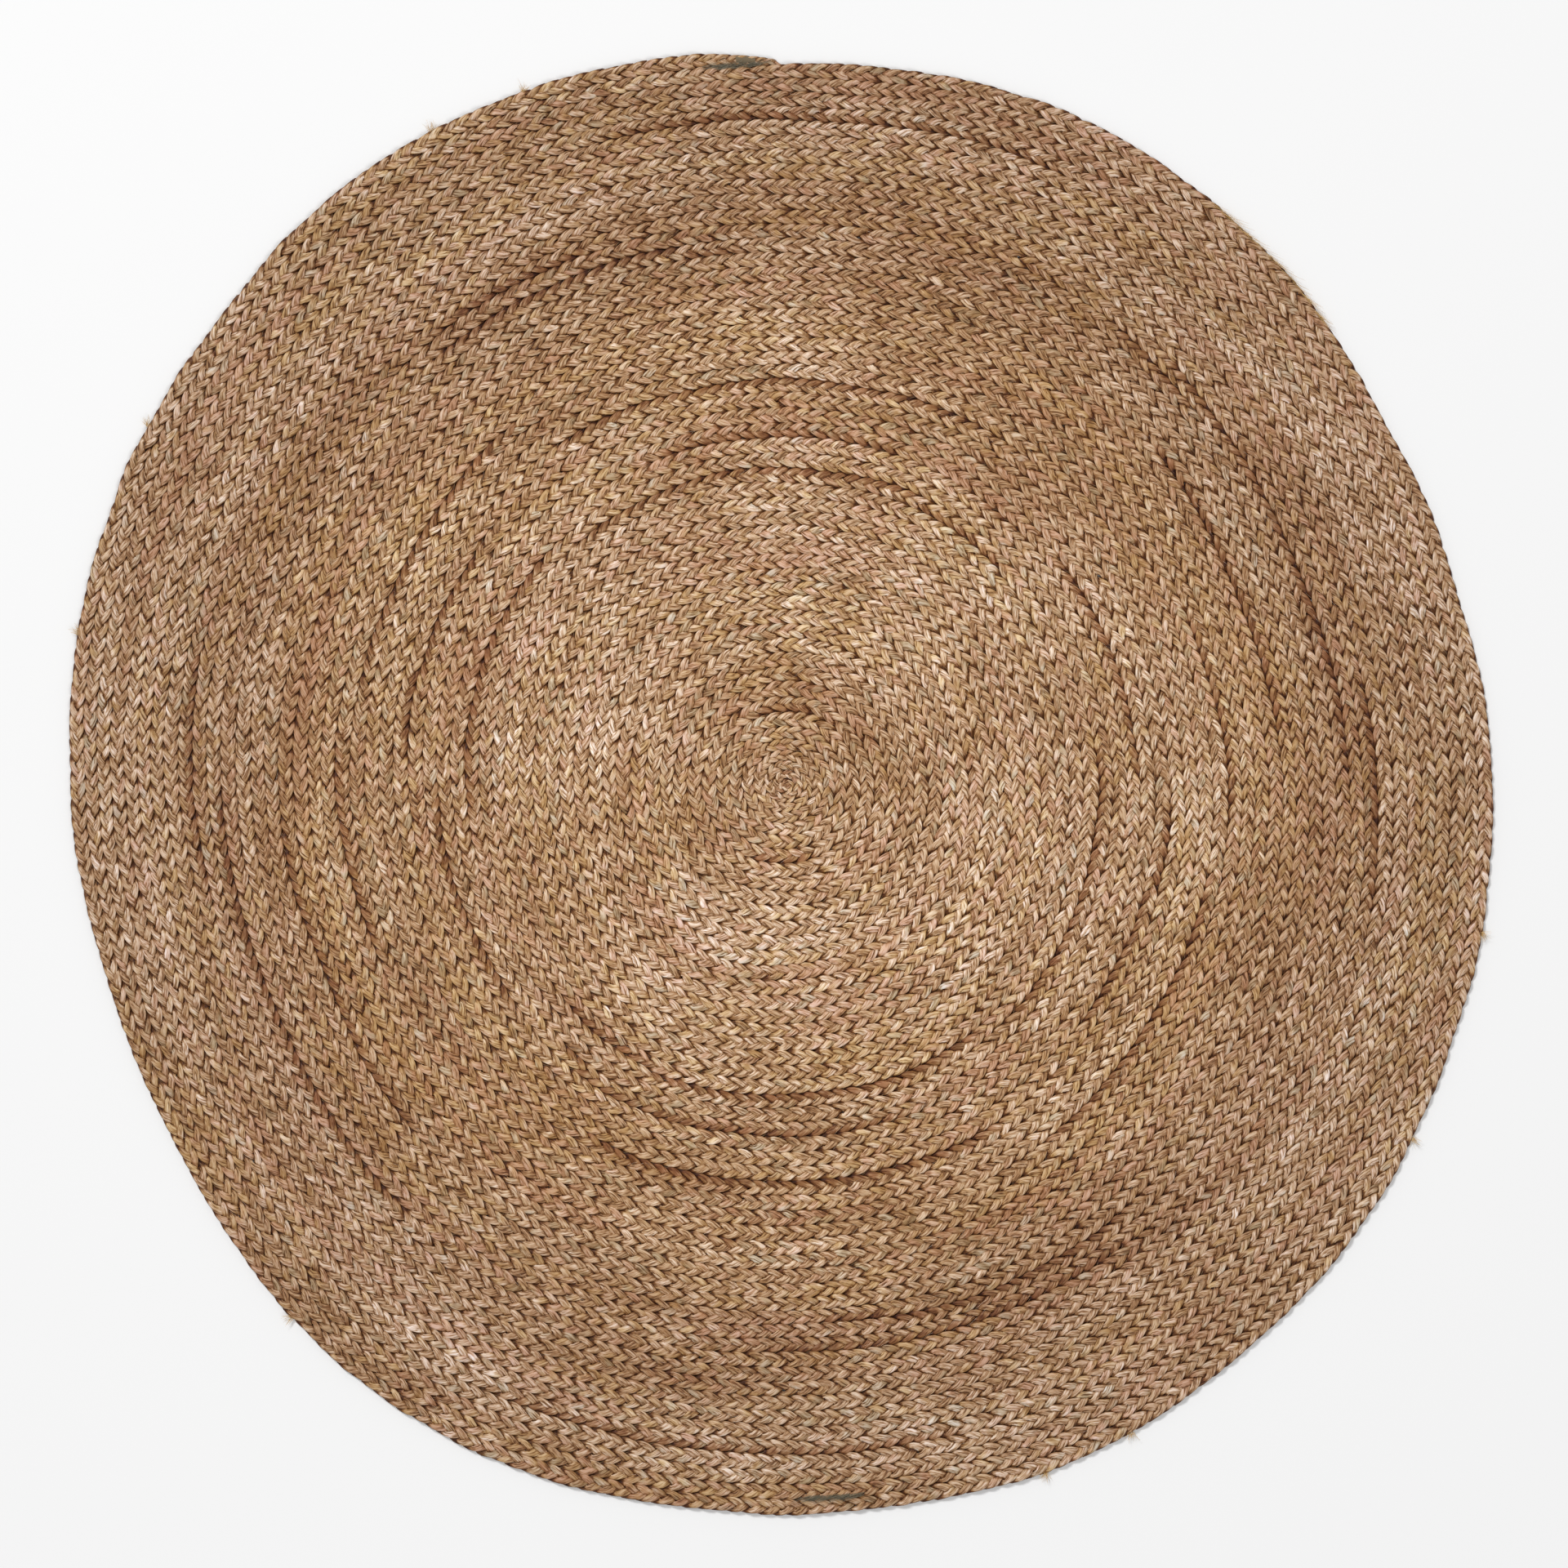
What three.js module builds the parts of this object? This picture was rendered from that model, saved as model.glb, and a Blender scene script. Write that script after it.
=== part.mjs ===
// A round rug: one flat three-strand jute braid, coiled outward from a tucked start, each turn sewn
// to the turn inside it. The braid is put down in lengths that meet end to end, and it ends in a
// tapered tail with a whipping of thread. Millimetres, +Z up, origin under the middle of the coil.
import * as THREE from "three";

// The whole rug
const rugDiameter = 1800; // across the mean circle of the outline
const braidThickness = 9;
const braidLengths = 12; // lengths of braid, sewn on one after another

// The braid across its width, and the seam beside it
const braidWidth = 16.4;
const startBraidWidth = 7.2; // thinner strands make a finer braid at the middle
const wideningTurns = 7; // turns that the fine start takes to reach the full width
const threadThickness = 0.8;
const threadHeight = 4;
const seamClearance = 0.3; // on each side of the sewing thread
const endClearance = 0.4; // between pieces that meet end to end

// The two ends of the braid
const firstTurn = 0.75; // turns from the middle to where the braid's first face stands
const tailAngle = Math.PI / 2; // where the braid ends, round from +X
const tailTipWidth = 6;
const whippingLength = 24;
const whippingSetback = 30; // from the whipping to the tip of the tail

// The coil is laid by hand, so its outline is a little off a circle: [waves in a round, share, phase].
const waves = [
  [2, 0.018, 2.7],
  [4, 0.0067, 2.19],
  [6, 0.0057, 0.21],
];
const stepsPerTurn = 30;

// Sizes that follow
const seamWidth = threadThickness + 2 * seamClearance;
const rowPitch = braidWidth + seamWidth;
const startRowPitch = startBraidWidth + seamWidth;
const stepAngle = (2 * Math.PI) / stepsPerTurn;
const firstStep = Math.round(firstTurn * stepsPerTurn);
const lastStep = Math.round(turnAtRadius(rugDiameter / 2) * stepsPerTurn);
const tailStep = lastStep - 1; // the tail takes the last step of the coil
const tailInset = threadThickness + seamClearance; // the tail is thinner by its whipping, top and bottom
const whippingStep = lastStep - (whippingSetback + whippingLength) / stepLength(tailStep);

const jute = new THREE.MeshStandardMaterial({ color: 0xa68262, roughness: 0.9, metalness: 0 });
const thread = new THREE.MeshStandardMaterial({ color: 0x84684a, roughness: 0.85, metalness: 0 });
const greyThread = new THREE.MeshStandardMaterial({ color: 0x55524c, roughness: 0.85, metalness: 0 });

// Mean radius of the coil after some turns: rows widen evenly at first, then keep one pitch.
function radiusAtTurn(turn) {
  const growing = Math.max(0, Math.min(turn, wideningTurns));
  const growth = (rowPitch - startRowPitch) / wideningTurns;
  const steady = Math.max(0, turn - wideningTurns);
  return startRowPitch * growing + (growth * growing * growing) / 2 + rowPitch * steady;
}

function turnAtRadius(radius) {
  return wideningTurns + (radius - radiusAtTurn(wideningTurns)) / rowPitch;
}

function outlineShare(angle) {
  return waves.reduce((share, [count, size, phase]) => share + size * Math.cos(count * angle + phase), 1);
}

// The coil grows clockwise, seen from above, and its last step is at the tail's angle.
function angleAtStep(step) {
  return tailAngle + (lastStep - step) * stepAngle;
}

// A corner of the coil at a whole step. Side -0.5 is the seam inside the row and 0.5 the one outside it.
function corner(step, side, outward) {
  const angle = angleAtStep(step);
  const radius = outlineShare(angle) * radiusAtTurn(step / stepsPerTurn + side) + outward;
  return new THREE.Vector2(radius * Math.cos(angle), radius * Math.sin(angle));
}

// A point between two corners lies on the straight line from one to the other.
function pointAt(step, side, outward) {
  const whole = Math.floor(step);
  const here = corner(whole, side, outward);
  return here.lerp(corner(whole + 1, side, outward), step - whole);
}

function stepLength(step) {
  return corner(step, 0, 0).distanceTo(corner(step + 1, 0, 0));
}

function stepsFrom(start, end) {
  const steps = [start];
  for (let step = Math.floor(start) + 1; step < end; step += 1) {
    steps.push(step);
  }
  steps.push(end);
  return steps;
}

function extruded(outline, bottom, height) {
  const geometry = new THREE.ExtrudeGeometry(new THREE.Shape(outline), { depth: height, bevelEnabled: false });
  return geometry.translate(0, 0, bottom);
}

function named(name, geometry, material) {
  const mesh = new THREE.Mesh(geometry, material);
  mesh.name = name;
  return mesh;
}

function numbered(name, index) {
  return `${name}_${String(index + 1).padStart(2, "0")}`;
}

// The steps at which one length of braid ends and the next begins: lengths as equal as whole steps allow.
function spliceSteps() {
  const total = stepsFrom(firstStep, tailStep - 1).reduce((sum, step) => sum + stepLength(step), 0);
  const splices = [firstStep];
  let run = 0;
  for (let step = firstStep; step < tailStep; step += 1) {
    run += stepLength(step);
    if (run >= (total * splices.length) / braidLengths && splices.length < braidLengths) {
      splices.push(step + 1);
    }
  }
  splices.push(tailStep);
  return splices;
}

// The steps of a piece that lies between two others, drawn in at each end by half the clearance.
function clearSteps(start, end) {
  const half = endClearance / 2;
  return stepsFrom(start + half / stepLength(start), end - half / stepLength(Math.ceil(end) - 1));
}

function braidLength(start, end) {
  const steps = clearSteps(start, end);
  const outer = steps.map((step) => pointAt(step, 0.5, -seamWidth / 2));
  const inner = steps.map((step) => pointAt(step, -0.5, seamWidth / 2));
  return extruded([...outer, ...inner.reverse()], 0, braidThickness);
}

// The tucked start fills the middle of the coil, as far out as the inner edge of the first turn. It stops
// short of the braid's first face by the end clearance at that face's inner corner, where it is closest.
function tuckedStart() {
  const inset = seamWidth / 2;
  const innerStep = corner(firstStep, -0.5, inset).distanceTo(corner(firstStep + 1, -0.5, inset));
  const start = firstStep - endClearance / innerStep;
  const outline = stepsFrom(start, start + stepsPerTurn).map((step) => pointAt(step, -0.5, inset - endClearance));
  return extruded(outline, 0, braidThickness);
}

// The path of the sewing thread, down the middle of the seam outside a stretch of the coil. Its corners
// are the coil's own, so the thread's faces stay parallel to the rows'.
class SeamPath extends THREE.Curve {
  constructor(steps) {
    super();
    this.corners = steps.map((step) => pointAt(step, 0.5, 0));
  }

  getPoint(share) {
    const place = share * (this.corners.length - 1);
    const whole = Math.min(Math.floor(place), this.corners.length - 2);
    const point = this.corners[whole].clone().lerp(this.corners[whole + 1], place - whole);
    return new THREE.Vector3(point.x, point.y, braidThickness / 2);
  }

  getPointAt(share) {
    return this.getPoint(share);
  }

  getTangentAt(share) {
    return this.getTangent(share);
  }
}

function seamThread(start, end) {
  const section = new THREE.Shape([
    new THREE.Vector2(-threadHeight / 2, -threadThickness / 2),
    new THREE.Vector2(threadHeight / 2, -threadThickness / 2),
    new THREE.Vector2(0, threadThickness / 2),
  ]);
  const steps = clearSteps(start, end);
  return new THREE.ExtrudeGeometry(section, { extrudePath: new SeamPath(steps), steps: steps.length - 1 });
}

// The tail narrows from its outer side, so it stays against the turn inside it.
function tailWidthAt(share) {
  return braidWidth + (tailTipWidth - braidWidth) * share;
}

function braidTail() {
  const first = endClearance / 2 / stepLength(tailStep);
  const inner = [first, 1].map((share) => pointAt(tailStep + share, -0.5, seamWidth / 2));
  const outer = [first, 1].map((share) => pointAt(tailStep + share, -0.5, seamWidth / 2 + tailWidthAt(share)));
  return extruded([...outer, ...inner.reverse()], tailInset, braidThickness - 2 * tailInset);
}

// The whipping is a flat sleeve of thread round the tail, in line with the tail's inner side. Its inner
// wall takes the sewing thread's place in the seam.
function tailWhipping() {
  const start = pointAt(whippingStep + endClearance / 2 / stepLength(tailStep), -0.5, seamWidth / 2);
  const along = pointAt(lastStep, -0.5, seamWidth / 2).sub(start).normalize();
  const room = new THREE.Box2(
    new THREE.Vector2(-seamClearance, threadThickness),
    new THREE.Vector2(tailWidthAt(whippingStep - tailStep) + seamClearance, braidThickness - threadThickness),
  );
  const sleeve = new THREE.Shape(boxCorners(room.clone().expandByScalar(threadThickness)));
  sleeve.holes.push(new THREE.Path(boxCorners(room).reverse()));
  const geometry = new THREE.ExtrudeGeometry(sleeve, { depth: whippingLength, bevelEnabled: false });
  const forward = new THREE.Vector3(along.x, along.y, 0);
  const up = new THREE.Vector3(0, 0, 1);
  const outward = up.clone().cross(forward);
  geometry.applyMatrix4(new THREE.Matrix4().makeBasis(outward, up, forward));
  return geometry.translate(start.x, start.y, 0);
}

function boxCorners(box) {
  return [
    new THREE.Vector2(box.min.x, box.min.y),
    new THREE.Vector2(box.max.x, box.min.y),
    new THREE.Vector2(box.max.x, box.max.y),
    new THREE.Vector2(box.min.x, box.max.y),
  ];
}

const rug = new THREE.Group();
rug.add(named("tucked_start", tuckedStart(), jute));

const splices = spliceSteps();
for (let index = 0; index < braidLengths; index += 1) {
  const start = splices[index];
  const end = splices[index + 1];
  rug.add(named(numbered("braid_length", index), braidLength(start, end), jute));
  // The thread sews this length to the turn inside it. The first turn has none inside it to be sewn to,
  // and the last thread goes on along the tail to its whipping.
  const sewnFrom = Math.max(start - stepsPerTurn, firstStep);
  const sewnTo = (index === braidLengths - 1 ? whippingStep : end) - stepsPerTurn;
  rug.add(named(numbered("seam_thread", index), seamThread(sewnFrom, sewnTo), thread));
}

rug.add(named("braid_tail", braidTail(), jute));
rug.add(named("tail_whipping", tailWhipping(), greyThread));

export default rug;
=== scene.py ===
# The looks of a round braided jute rug: three flat strands of jute plaited all along the coil, the
# sewing thread in its seams, the bound tail, and the loose fibres that such a rug sheds.
import math

import bpy
import numpy as np
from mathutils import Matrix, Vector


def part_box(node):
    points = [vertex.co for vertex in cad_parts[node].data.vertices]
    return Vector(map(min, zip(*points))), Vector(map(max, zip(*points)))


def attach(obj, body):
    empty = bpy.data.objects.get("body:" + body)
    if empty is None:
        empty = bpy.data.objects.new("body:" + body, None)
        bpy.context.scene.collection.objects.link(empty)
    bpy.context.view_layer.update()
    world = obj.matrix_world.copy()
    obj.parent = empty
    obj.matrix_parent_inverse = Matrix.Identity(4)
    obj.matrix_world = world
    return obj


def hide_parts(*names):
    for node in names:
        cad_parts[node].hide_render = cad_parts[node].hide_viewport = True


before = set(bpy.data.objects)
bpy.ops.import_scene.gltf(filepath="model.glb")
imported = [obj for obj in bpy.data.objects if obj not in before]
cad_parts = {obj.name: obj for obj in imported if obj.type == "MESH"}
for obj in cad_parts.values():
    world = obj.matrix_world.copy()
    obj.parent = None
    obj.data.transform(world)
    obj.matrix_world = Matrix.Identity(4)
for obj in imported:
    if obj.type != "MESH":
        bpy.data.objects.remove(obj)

bl_info = {
    "name": "Round braided jute rug",
    "version": (1, 0, 0),
    "blender": (4, 5, 0),
    "location": "View3D > Sidebar > Rug",
    "description": "Makes a round rug of plaited jute around its packed model",
    "category": "Object",
}

# ---------------------------------------------------------------- the coil, in metres and radians

STRANDS = ("a", "b", "c")
APART = 2 * math.pi / len(STRANDS)  # of the plait's phase, from each strand to the next
TAIL_ANGLE = math.pi / 2  # where the braid ends, round from +X
START_TURN = 0.08  # where the tucked start of the plait comes out of the middle
FIRST_TURN = 23 / 30  # turns from the middle at which the first braid length begins
STEPS_PER_TURN = 30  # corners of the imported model's coil in one turn
WAVES = ((2, 0.018, 2.7), (4, 0.0067, 2.19), (6, 0.0057, 0.21))  # waves in a round, share, phase
LENGTHS = sum(name.startswith("braid_length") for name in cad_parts)
SAMPLES = 12  # rings of a strand in one period of the plait
SIDES = 8  # corners of a strand's section
RING_LENGTH = 0.0052  # along a strand, from one ring to the next
GIRTH = 0.025  # round a strand where it is widest
FIRST_PHASE = 15  # degrees of the plait's phase at the first ring
HIDDEN = 135  # degrees of phase at which a strand lies lowest, under the other two; again at 315
TIGHT_RADIUS = 0.7  # inside which the plait gets tighter towards the middle
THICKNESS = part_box("braid_length_01")[1].z
FOLD_REACH = 0.007  # of the fold, either way from the middle
FOLD_THICKNESS = 0.0062
TIP_WIDTH = 0.006  # of the tail, at its very end
TAIL_THICKNESS = 0.0068
LAST_STITCH = 0.35  # of the coil's last step: how far the seam's thread stops short of the tip
WHIPPING_LENGTH = 0.024
WHIPPING_SETBACK = 0.030  # from the tip of the tail to the whipping
SUNK_BLEND = 6  # degrees in which a sunk arc goes down, and comes up again at its other end
LOWEST = (-9.0, -9.0, 0.0002)  # keeps every point of a piece just clear of the floor

# Where broken strand ends stand out of the edge, in degrees round from +X.
STRAND_ENDS = (110.9, 118.5, 150.8, 168.2, 227.3, 290.9, 298.5, 330.8, 348.2)

# Arcs where half a row has sunk between its neighbours and is painted darker: partly painted shade
# from the neighbours, partly a redder, darker lot of fibre. Radius in metres, and from and to in
# degrees round from +X. Each is repeated half a round further on.
SUNK_ARCS = (
    (0.092, 68, 112),
    (0.385, 45, 128),
    (0.405, 135, 185),
    (0.430, 50, 110),
    (0.447, 2, 38),
    (0.495, 62, 122),
    (0.478, 142, 175),
    (0.547, 128, 166),
    (0.567, 82, 132),
    (0.562, -4, 22),
    (0.635, 6, 42),
    (0.668, 95, 128),
    (0.697, 44, 80),
    (0.700, 90, 126),
    (0.712, 1, 48),
    (0.745, -12, 10),
    (0.822, 66, 104),
)

# Hand laying moves the rows a little: (metres, wavelength in metres, direction, phase) of each sway.
SWAYS = (
    (0.0024, 0.46, 0.3, 1.1),
    (0.0017, 0.31, 1.7, 4.0),
    (0.0012, 0.21, 2.6, 0.4),
    (0.0009, 0.13, 0.9, 2.2),
    (0.0007, 0.083, 2.0, 5.1),
    (0.0006, 0.071, 0.1, 3.3),
)

# The tint that the jute has at some distances in metres from the middle, where the bales changed.
BALE_TINTS = (
    (0.00, (0.89, 0.87, 0.87)),
    (0.09, (0.87, 0.83, 0.78)),
    (0.26, (0.97, 0.97, 0.99)),
    (0.42, (0.87, 0.84, 0.81)),
    (0.57, (0.81, 0.76, 0.69)),
    (0.70, (0.69, 0.62, 0.57)),
    (0.80, (0.79, 0.77, 0.78)),
    (0.87, (0.75, 0.72, 0.71)),
)


def srgb(colour):
    """A hex colour as the linear one that shaders take."""
    parts = [int(colour[i : i + 2], 16) / 255 for i in (1, 3, 5)]
    return [x / 12.92 if x <= 0.04045 else ((x + 0.055) / 1.055) ** 2.4 for x in parts]


def colour_property(name, description, colour):
    return bpy.props.FloatVectorProperty(
        name=name, description=description, subtype="COLOR", size=3, min=0, max=1, default=srgb(colour)
    )


def length_property(name, description, default):
    return bpy.props.FloatProperty(
        name=name, description=description, default=default, min=0, unit="LENGTH", subtype="DISTANCE"
    )


class RugSizes(bpy.types.PropertyGroup):
    diameter: length_property("Diameter", "Mean circle of the rug's outline", 1.8)
    row: length_property("Row", "From one seam to the next", 0.0178)
    start_row: length_property("First row", "The finer rows that the coil begins with", 0.0086)
    widening: bpy.props.FloatProperty(
        name="Widening", description="Turns in which the rows reach their full width", default=7, min=1
    )
    period: length_property("Plait period", "Along the braid, until a strand is back at its place", 0.056)
    tightness: bpy.props.FloatProperty(
        name="Tightness",
        description="How much shorter the period is in the middle, as a share",
        default=0.1,
        min=0,
        max=0.5,
    )
    strand_width: length_property("Strand width", "Across one strand where it lies flat", 0.0114)
    strand_thickness: length_property("Strand thickness", "Through one strand", 0.0042)
    thread: length_property("Sewing thread", "Diameter of the thread in the seams", 0.0008)
    stitch: length_property("Stitch", "Along the seam, from one stitch to the next", 0.020)
    fibre: length_property("Loose fibre", "Length of a fibre that has worked out of a strand", 0.016)


class RugColours(bpy.types.PropertyGroup):
    tan: colour_property("Tan", "Most of the jute", "#dcb897")
    # Besides paler fibre, this colour is painted on the strands' streaks as highlights.
    pale: colour_property("Pale", "Well retted, bleached fibre", "#fbe3c8")
    golden: colour_property("Golden", "Lots with a yellow cast", "#d9b374")
    russet: colour_property("Russet", "Lots stained red-brown by bark", "#c68f6c")
    grey: colour_property("Grey", "Over-retted, greenish grey fibre", "#c8bfa8")
    # This colour is painted between the strands' fibre streaks, partly as painted shade; nothing places it by
    # depth in the plait.
    dark: colour_property("Dark", "Root ends and what lies deep in the plait", "#6e4826")
    thread: colour_property("Sewing thread", "The thread in the seams", "#7f6345")
    whipping: colour_property("Whipping", "The thread wound round the tail", "#7d6d54")
    stain: colour_property("Grey fibre", "The grey wisps in the outermost seam", "#7b745f")
    floor: colour_property("Floor", "The plain floor", "#f4f4f4")


def radius_at(turn):
    """Mean radius of the coil after some turns: rows widen evenly at first, then keep one width."""
    s = bpy.context.scene.rug_sizes
    growing = np.clip(turn, 0, s.widening)
    growth = (s.row - s.start_row) / s.widening
    return s.start_row * growing + growth * growing**2 / 2 + s.row * np.maximum(turn - s.widening, 0)


def last_turn():
    """Turns of the whole coil, up to the corner at which the tail ends."""
    s = bpy.context.scene.rug_sizes
    turns = s.widening + (s.diameter / 2 - radius_at(s.widening)) / s.row
    return round(float(turns) * STEPS_PER_TURN) / STEPS_PER_TURN


def edge_turn(degrees):
    """The turn at which the outermost row passes an angle."""
    return last_turn() - (math.radians(degrees) - TAIL_ANGLE) % (2 * math.pi) / (2 * math.pi)


def places(turn, side=0.0):
    """Points of the coil, side rows out from the middle of the braid, without the sways."""
    angle = TAIL_ANGLE + (last_turn() - turn) * 2 * math.pi
    radius = radius_at(turn + side) * (1 + sum(share * np.cos(n * angle + at) for n, share, at in WAVES))
    return np.stack([radius * np.cos(angle), radius * np.sin(angle)], -1)


def laid(points):
    """The same points where a hand would have laid them: close, but never quite even."""
    moved = points.copy()
    for size, wavelength, direction, phase in SWAYS:
        along = points @ [math.cos(direction), math.sin(direction)]
        push = size * np.sin(2 * math.pi * along / wavelength + phase)
        moved += push[:, None] * [math.cos(direction), math.sin(direction)]
    return moved


def row_at(turn):
    """From one seam to the next, at a turn."""
    return radius_at(turn + 0.5) - radius_at(turn - 0.5)


def section_at(turn):
    """Width and thickness of the braid, how many rows it lies off the coil's middle line, and how far
    its underside is off the floor. The tail tapers from its outer side and is a little thinner."""
    s = bpy.context.scene.rug_sizes
    row = row_at(turn)
    tapered = np.clip((turn - last_turn()) * STEPS_PER_TURN + 1, 0, 1) ** 2.5
    width = row + (TIP_WIDTH - row) * tapered
    whole = THICKNESS * (row / s.row) ** 0.6
    rise = whole - (whole - TAIL_THICKNESS) * np.clip(tapered * 4, 0, 1)
    return width, rise, (width / row - 1) / 2, (whole - rise) / 2


def line_at(turn, across=0.0, height=0.0):
    """Points that lie some way across the braid, in widths of it, and some way up through it."""
    width, rise, side, base = section_at(turn)
    points = laid(places(turn, side + across * width / row_at(turn)))
    return np.column_stack([points, base + rise * height])


def laid_width(turn):
    """The braid's width where it has been laid: it spreads or closes up until it fills its place."""
    return np.linalg.norm(line_at(turn, 0.5) - line_at(turn, -0.5), axis=1)


def run_along(points):
    """How far along their line each of the points is."""
    return np.append(0, np.cumsum(np.linalg.norm(np.diff(points, axis=0), axis=1)))


def length_ends():
    """The turns at which the braid lengths end: equal lengths, rounded to the coil's corners."""
    steps = np.arange(round(FIRST_TURN * STEPS_PER_TURN), round(last_turn() * STEPS_PER_TURN))
    run = run_along(places(steps / STEPS_PER_TURN))
    whole = [int(np.searchsorted(run, run[-1] * i / LENGTHS)) for i in range(LENGTHS)]
    return [steps[i] / STEPS_PER_TURN for i in whole] + [steps[-1] / STEPS_PER_TURN]


def plait_rings():
    """Turn, run and phase of every ring of the strands, one after another along the whole coil."""
    s = bpy.context.scene.rug_sizes
    turn = np.linspace(START_TURN, last_turn(), 60_000)
    width, _, side, _ = section_at(turn)
    run = run_along(laid(places(turn, side)))
    tighter = s.tightness * np.clip(1 - radius_at(turn) / TIGHT_RADIUS, 0, 1)
    period = s.period * width / s.row * (1 - tighter)
    phase = np.append(0, np.cumsum(np.diff(run) / period[1:])) * 2 * math.pi
    count = int(phase[-1] / (2 * math.pi) * SAMPLES)
    rings = math.radians(FIRST_PHASE) + np.arange(count) * 2 * math.pi / SAMPLES
    return np.interp(rings, phase, turn), np.interp(rings, phase, run), rings


def sunk_at(turn):
    """How far the braid's halves have sunk: above 0 where it is the outer half, below 0 the inner."""
    s = bpy.context.scene.rug_sizes
    angle = np.degrees(TAIL_ANGLE + (last_turn() - turn) * 2 * math.pi)
    sunk = np.zeros(len(turn))
    for radius, start, stop in SUNK_ARCS:
        middle, half = (start + stop) / 2, (stop - start) / 2
        off = np.abs((angle - middle + 90) % 180 - 90)
        along = np.clip((half - off) / SUNK_BLEND + 0.5, 0, 1)
        for side in (-1, 1):
            close = np.abs(radius_at(turn + side / 4) - radius) < s.row / 4
            sunk = np.where(close, side * along, sunk)
    return sunk


def hidden_end(rings, turn, number, apart=0):
    """The first ring from a turn on at which that strand lies under the others, so that its end
    doesn't show. Each strand can be given its end some periods of the plait after the one before."""
    index = int(np.searchsorted(rings[0], turn)) + number * apart * SAMPLES
    while round(math.degrees(rings[2][index] + number * APART)) % 180 != HIDDEN:
        index += 1
    return index


def braid_stops(rings, number):
    """The rings at which one strand of the braid lengths begins and ends."""
    first, *between, last = length_ends()
    stops = [hidden_end(rings, turn, number, apart=1) for turn in between]
    return [hidden_end(rings, first, number), *stops, hidden_end(rings, last, number)]


# ---------------------------------------------------------------- small helpers


def add(tree, kind, *values, **settings):
    """Adds a node with its settings. The values are its inputs in order, or one dict of them by
    name or number. A node among the values stands for its first output."""
    node = tree.nodes.new(kind)
    for name, value in settings.items():
        setattr(node, name, value)
    inputs = values[0] if values and isinstance(values[0], dict) else dict(enumerate(values))
    for socket, value in inputs.items():
        if isinstance(value, bpy.types.Node):
            value = value.outputs[0]
        if isinstance(value, bpy.types.NodeSocket):
            tree.links.new(value, node.inputs[socket])
        else:
            node.inputs[socket].default_value = value
    return node


def path_object(name, points, **values):
    """A chain of edges through the points, with a number of each kind at every point."""
    mesh = bpy.data.meshes.new(name)
    ends = np.arange(len(points) - 1)
    mesh.from_pydata(points.tolist(), np.stack([ends, ends + 1], 1).tolist(), [])
    for key, numbers in values.items():
        mesh.attributes.new(key, "FLOAT", "POINT").data.foreach_set("value", np.asarray(numbers, np.float32))
    path = bpy.data.objects.new(name, mesh)
    bpy.context.scene.collection.objects.link(path)
    return path


def made_by(tree, path, **values):
    """The plain mesh that a node tree makes of a path. The path is removed."""
    modifier = path.modifiers.new(tree.name, "NODES")
    modifier.node_group = tree
    for item in tree.interface.items_tree:
        if item.item_type == "SOCKET" and item.in_out == "INPUT" and item.name in values:
            modifier[item.identifier] = values.pop(item.name)
    if values:
        raise RuntimeError(f"{tree.name} has no inputs named {sorted(values)}")
    graph = bpy.context.evaluated_depsgraph_get()
    name = path.name
    mesh = bpy.data.meshes.new_from_object(
        path.evaluated_get(graph), preserve_all_data_layers=True, depsgraph=graph
    )
    bpy.data.objects.remove(path)
    mesh.name = name
    piece = bpy.data.objects.new(name, mesh)
    bpy.context.scene.collection.objects.link(piece)
    return piece


def finish_piece(piece, slot, *nodes):
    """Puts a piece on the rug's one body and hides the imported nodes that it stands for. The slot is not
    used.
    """
    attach(piece, "root")
    if nodes:
        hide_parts(*nodes)


def node_tree(name, **inputs):
    """An empty geometry tree with a path in, a mesh out, and a named input for each given default."""
    tree = bpy.data.node_groups.new(name, "GeometryNodeTree")
    tree.interface.new_socket("Path", in_out="INPUT", socket_type="NodeSocketGeometry")
    kinds = {float: "NodeSocketFloat", int: "NodeSocketInt", str: "NodeSocketMaterial"}
    for key, default in inputs.items():
        item = tree.interface.new_socket(key, in_out="INPUT", socket_type=kinds[type(default)])
        if not isinstance(default, str):
            item.default_value = default
    tree.interface.new_socket("Mesh", in_out="OUTPUT", socket_type="NodeSocketGeometry")
    return tree, add(tree, "NodeGroupInput").outputs


def finish_tree(tree, tube, material):
    """Ends a geometry tree: one smooth plain mesh of one material, all of it clear of the floor."""
    place = add(tree, "GeometryNodeInputPosition")
    place = add(tree, "ShaderNodeVectorMath", place, LOWEST, operation="MAXIMUM")
    tube = add(tree, "GeometryNodeSetPosition", {"Geometry": tube, "Position": place})
    tube = add(tree, "GeometryNodeSetShadeSmooth", {"Geometry": tube})
    tube = add(tree, "GeometryNodeRealizeInstances", tube)
    tube = add(tree, "GeometryNodeSetMaterial", {"Geometry": tube, "Material": material})
    add(tree, "NodeGroupOutput", tube)


# ---------------------------------------------------------------- node trees


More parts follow.
